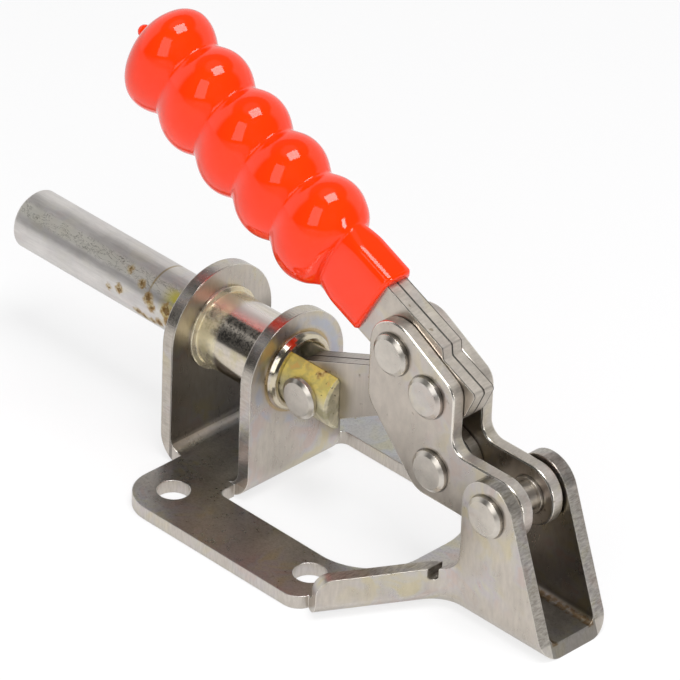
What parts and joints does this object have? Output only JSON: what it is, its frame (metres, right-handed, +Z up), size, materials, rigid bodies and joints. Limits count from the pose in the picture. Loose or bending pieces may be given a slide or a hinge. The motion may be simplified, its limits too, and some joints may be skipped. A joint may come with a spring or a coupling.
{
  "type": "toggle clamp",
  "caption": "Straight-line push-pull toggle clamp with a flanged sheet base, guided round plunger, riveted toggle linkage and soft bubble grip.",
  "frame": {"origin": "centre of the four base holes, on the underside of the flange", "axes": "+X the way the plunger pushes out, +Z up from the flange, +Y to the side"},
  "size_m": [0.1531, 0.0624, 0.0911],
  "materials": {
    "plated_sheet": "satin nickel plate on stamped sheet",
    "plated_link": "satin nickel plate",
    "bush_steel": "bright plate with a warm stain",
    "plunger_steel": "ground and plated, with brown spots",
    "rivet_steel": "bright plated heads",
    "grip_plastic": "glossy dipped plastic"
  },
  "bodies": {
    "base": {"base": "plated_sheet", "guide_bush": "bush_steel", "base_pin": "rivet_steel", "spacer_near": "rivet_steel", "spacer_far": "rivet_steel"},
    "lever": {"toggle_plate_near": "plated_sheet", "toggle_plate_far": "plated_sheet", "handle_bar_near": "plated_sheet", "handle_bar_far": "plated_sheet", "grip": "grip_plastic", "upper_rivet": "rivet_steel", "lower_rivet": "rivet_steel", "link_pin": "rivet_steel"},
    "link": {"link_plate_near": "plated_link", "link_plate_far": "plated_link"},
    "plunger": {"plunger": "plunger_steel", "plunger_pin": "rivet_steel"}
  },
  "joints": [
    {"name": "lever_pivot", "type": "hinge", "parent": "base", "child": "lever", "pos_m": [-0.0515, 0, 0.0259], "axis": [0, -1, 0], "range_deg": [0, 125]},
    {"name": "link_pivot", "type": "hinge", "parent": "lever", "child": "link", "pos_m": [-0.0334, 0, 0.0259], "axis": [0, 1, 0], "range_deg": [0, 150.3]},
    {"name": "plunger_slide", "type": "slide", "parent": "base", "child": "plunger", "axis": [-1, 0, 0], "range_m": [0, 0.0319]}
  ],
  "couplings": [
    {"joint": "link_pivot", "follows": "lever_pivot", "ratio": 1.2024},
    {"joint": "plunger_slide", "follows": "lever_pivot", "m_per_rad": 0.01458}
  ]
}
